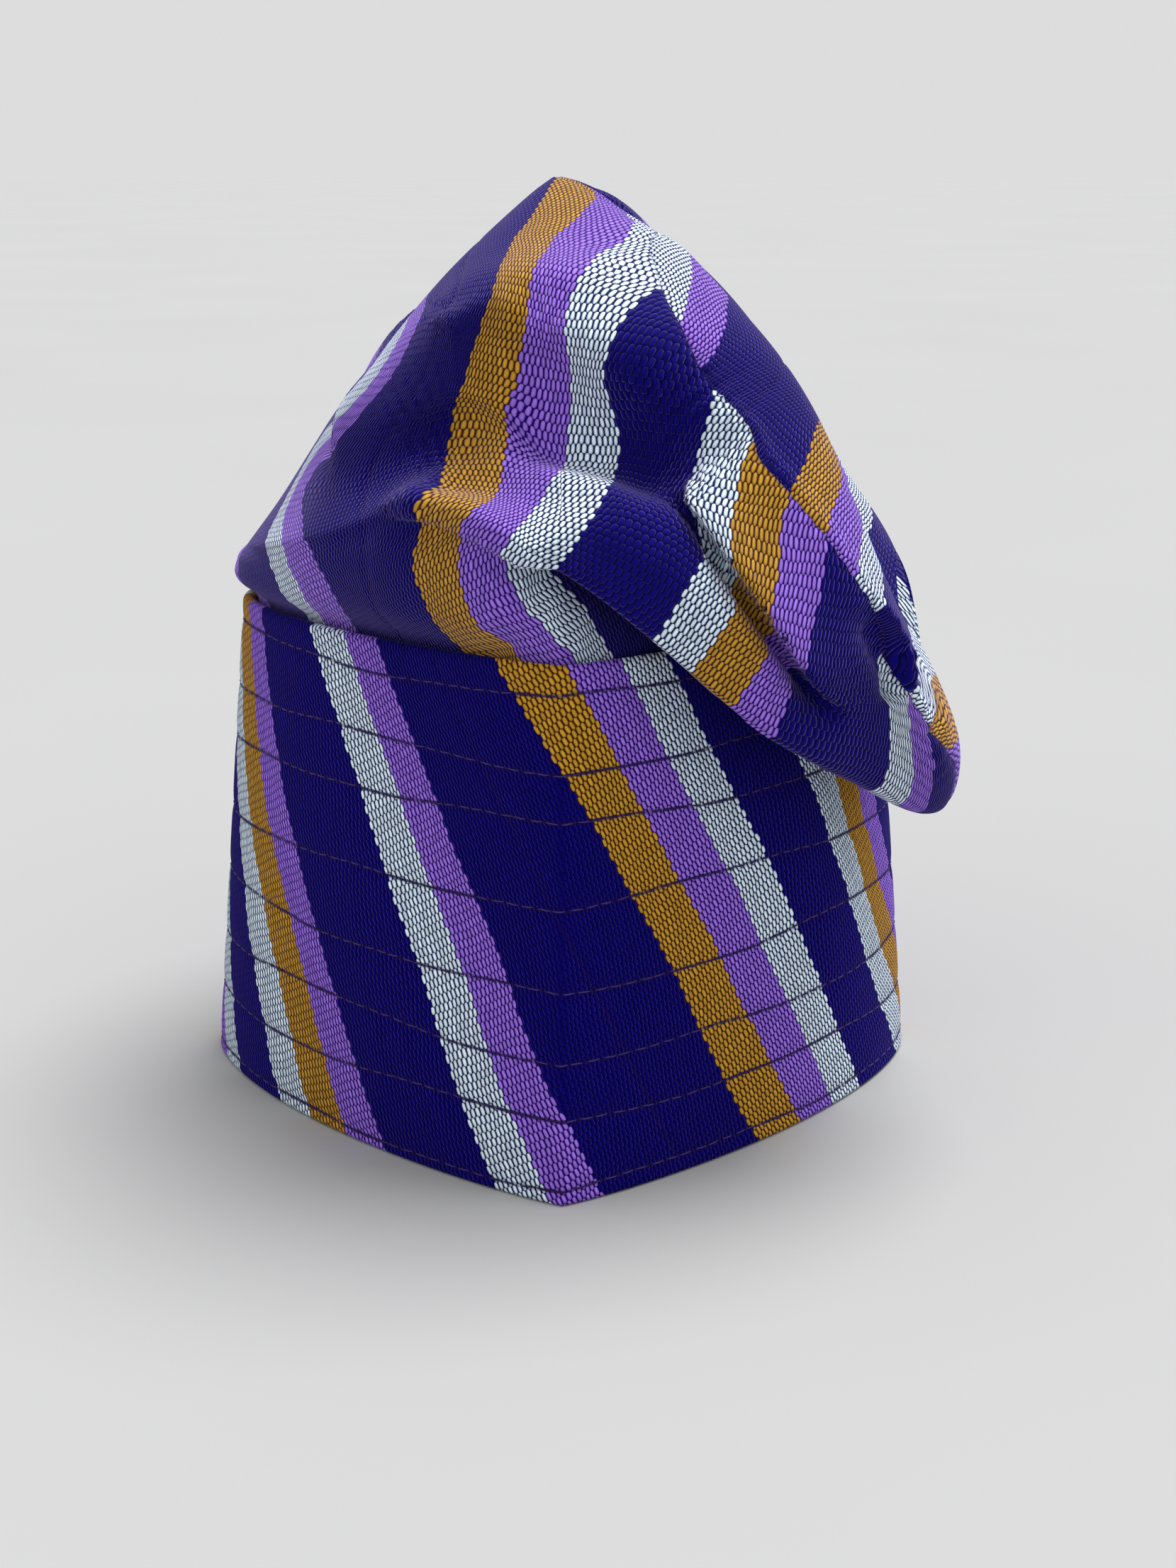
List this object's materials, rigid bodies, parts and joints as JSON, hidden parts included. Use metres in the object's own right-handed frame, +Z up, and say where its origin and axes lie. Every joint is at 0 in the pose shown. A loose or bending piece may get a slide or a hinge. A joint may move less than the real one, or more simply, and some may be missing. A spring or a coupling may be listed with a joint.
{
  "type": "soft cap",
  "caption": "Soft striped cloth cap, hollow and open below, with a stiff stitched band and a limp crown folded over toward the front right.",
  "frame": {"origin": "centre of the cap's box, at the surface that the hem stands on", "axes": "+Z up from the hem to the summit, -Y toward the front pressed fold, +X toward the side that the crown flops to"},
  "size_m": [0.1826, 0.2064, 0.2187],
  "materials": {
    "band": "coarse hand-woven cloth, matte, stitched in rows",
    "crown": "coarse hand-woven cloth, matte"
  },
  "bodies": {
    "root": {"band": "band", "crown": "crown"}
  },
  "joints": []
}
